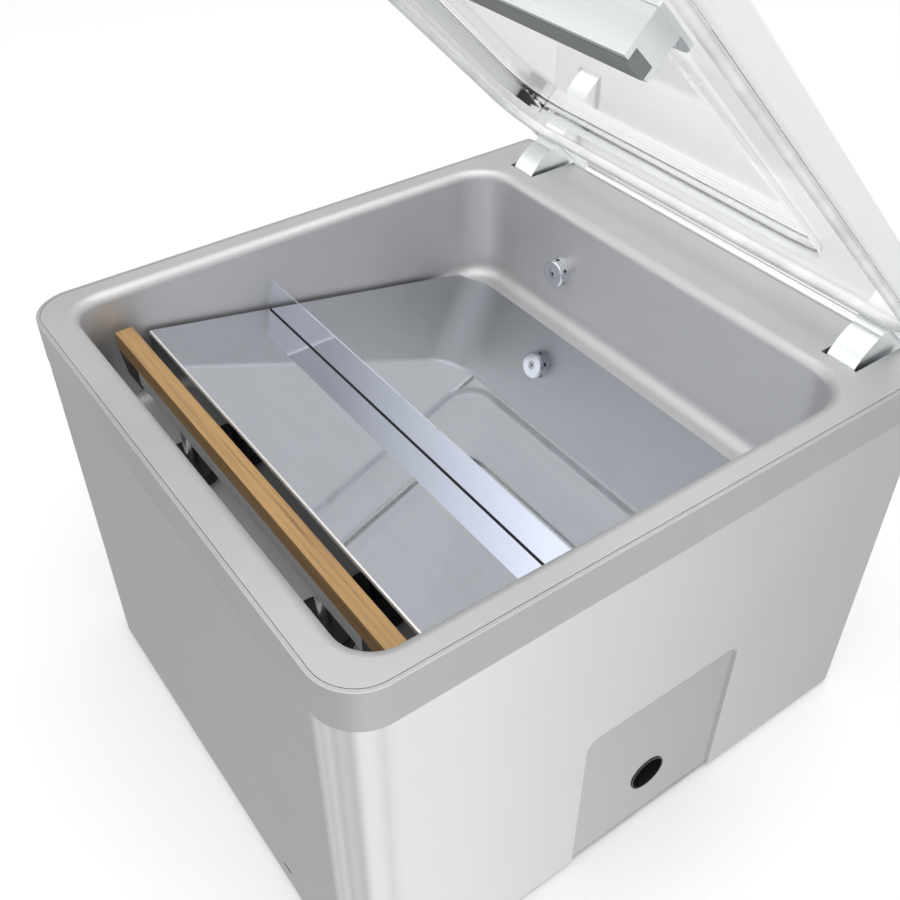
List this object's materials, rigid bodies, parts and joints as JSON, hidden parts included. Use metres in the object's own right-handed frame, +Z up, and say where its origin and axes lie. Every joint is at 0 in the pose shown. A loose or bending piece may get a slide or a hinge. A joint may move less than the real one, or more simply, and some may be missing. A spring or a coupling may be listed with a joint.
{
  "type": "chamber vacuum sealer",
  "caption": "Tabletop chamber vacuum packer: stainless body with a deep chamber, sloping insert plate, lifting seal bar and a thick clear hinged lid.",
  "frame": {"origin": "centre of the body's footprint on the plane that the feet rest on", "axes": "+X to the machine's right, -Y to the front where the seal bar is, +Y to the hinge side, +Z up; the lid is open at rest"},
  "size_m": [0.501, 0.5604, 0.7542],
  "materials": {
    "deck_steel": "satin blasted stainless steel",
    "housing_steel": "fine brushed stainless steel",
    "hatch_steel": "fine brushed stainless steel",
    "zinc_steel": "zinc plated steel",
    "black_plastic": "matt black moulding",
    "black_rubber": "matt black rubber",
    "screw_steel": "polished stainless steel",
    "contact_brass": "brass",
    "rocker_plastic": "dark red moulding",
    "cap_chrome": "polished stainless steel",
    "holder_aluminium": "satin anodised extrusion",
    "arm_aluminium": "fine cast and polished",
    "bar_laminate": "tan grained laminate",
    "seal_tape": "tan release tape",
    "mirror_steel": "mirror polished stainless steel",
    "rail_steel": "mirror polished stainless steel",
    "lid_acrylic": "clear cast acrylic",
    "gasket_silicone": "light grey silicone",
    "strip_silicone": "grey silicone",
    "spring_steel": "spring steel",
    "panel_overlay": "dark membrane overlay",
    "display_glass": "dark display window",
    "button_plastic": "light grey key",
    "board_green": "green circuit board",
    "pump_cast": "painted casting",
    "motor_paint": "grey enamel",
    "hose_rubber": "reinforced black hose",
    "coil_tape": "yellow insulating tape"
  },
  "bodies": {
    "machine_body": {"chamber_tub": "deck_steel", "deck_skirt": "deck_steel", "housing_shell": "housing_steel", "service_hatch": "hatch_steel", "hatch_finger_cup": "black_plastic", "base_plate": "zinc_steel", "rubber_feet": "black_rubber", "machine_screws": "screw_steel", "back_panel": "housing_steel", "power_inlet": "black_plastic", "inlet_pins": "contact_brass", "main_switch_frame": "black_plastic", "cooling_fan_frame": "black_plastic", "suction_cap": "cap_chrome", "lift_cylinders": "black_plastic", "hinge_brackets": "zinc_steel", "hinge_pins": "screw_steel", "torsion_springs": "spring_steel", "soft_air_valve": "contact_brass", "control_panel": "panel_overlay", "display_window": "display_glass", "control_board": "board_green", "pump_casing": "pump_cast", "motor_casing": "motor_paint", "motor_stator": "zinc_steel", "fan_cover": "motor_paint", "rubber_mounts": "black_rubber", "oil_separator": "motor_paint", "valve_block": "holder_aluminium", "vacuum_hose": "hose_rubber", "transformer_core": "zinc_steel", "transformer_coil": "coil_tape"},
    "lid": {"lid_slab": "lid_acrylic", "lid_gasket": "gasket_silicone", "counter_bar_holder": "holder_aluminium", "silicone_strip": "strip_silicone", "holder_tabs": "holder_aluminium", "holder_screws": "screw_steel", "hinge_arm_left": "arm_aluminium", "hinge_arm_right": "arm_aluminium"},
    "seal_bar": {"seal_bar_body": "bar_laminate", "seal_bar_carrier": "holder_aluminium", "heating_band": "zinc_steel", "seal_tape": "seal_tape", "contact_blocks": "black_plastic", "lift_rods": "screw_steel"},
    "insert_plate": {"insert_plate": "mirror_steel"},
    "stop_rail": {"stop_rail": "rail_steel", "stop_rail_foot": "black_rubber"},
    "soft_air_knob": {"soft_air_knob": "holder_aluminium"},
    "start_stop_button": {"start_stop_button": "button_plastic"},
    "program_button": {"program_button": "button_plastic"},
    "minus_button": {"minus_button": "button_plastic"},
    "plus_button": {"plus_button": "button_plastic"},
    "main_switch_rocker": {"main_switch_rocker": "rocker_plastic"},
    "fan_impeller": {"cooling_fan_impeller": "black_plastic"},
    "pump_shaft": {"drive_shaft": "zinc_steel", "pump_rotor": "zinc_steel", "motor_rotor": "holder_aluminium", "motor_fan": "black_plastic"}
  },
  "joints": [
    {"name": "lid_hinge", "type": "hinge", "parent": "machine_body", "child": "lid", "pos_m": [0, 0.255, 0.353], "axis": [1, 0, 0], "range_deg": [0, 45], "stiffness_Nm_per_rad": 5.1, "springref_deg": -106.57},
    {"name": "seal_bar_lift", "type": "slide", "parent": "machine_body", "child": "seal_bar", "axis": [0, 0, 1], "range_m": [0, 0.007]},
    {"name": "insert_plate_lift", "type": "slide", "parent": "machine_body", "child": "insert_plate", "axis": [0, 0, 1], "range_m": [0, 0.025]},
    {"name": "stop_rail_slide", "type": "slide", "parent": "insert_plate", "child": "stop_rail", "axis": [0, 0.9821, -0.1884], "range_m": [-0.07, 0.1]},
    {"name": "soft_air_turn", "type": "hinge", "parent": "machine_body", "child": "soft_air_knob", "pos_m": [-0.245, -0.179, 0.36], "axis": [-1, 0, 0], "range_deg": [0, 270]},
    {"name": "start_stop_button_press", "type": "slide", "parent": "machine_body", "child": "start_stop_button", "axis": [1, 0, 0], "range_m": [0, 0.0015], "stiffness_N_per_m": 400, "springref_m": -0.001},
    {"name": "program_button_press", "type": "slide", "parent": "machine_body", "child": "program_button", "axis": [1, 0, 0], "range_m": [0, 0.0015], "stiffness_N_per_m": 400, "springref_m": -0.001},
    {"name": "minus_button_press", "type": "slide", "parent": "machine_body", "child": "minus_button", "axis": [1, 0, 0], "range_m": [0, 0.0015], "stiffness_N_per_m": 400, "springref_m": -0.001},
    {"name": "plus_button_press", "type": "slide", "parent": "machine_body", "child": "plus_button", "axis": [1, 0, 0], "range_m": [0, 0.0015], "stiffness_N_per_m": 400, "springref_m": -0.001},
    {"name": "main_switch_rock", "type": "hinge", "parent": "machine_body", "child": "main_switch_rocker", "pos_m": [0.122, 0.2579, 0.06], "axis": [1, 0, 0], "range_deg": [0, 20]},
    {"name": "fan_spin", "type": "hinge", "parent": "machine_body", "child": "fan_impeller", "pos_m": [-0.12, 0.25, 0.12], "axis": [0, 1, 0], "continuous": true},
    {"name": "pump_spin", "type": "hinge", "parent": "machine_body", "child": "pump_shaft", "pos_m": [0, 0.02, 0.092], "axis": [1, 0, 0], "continuous": true}
  ]
}
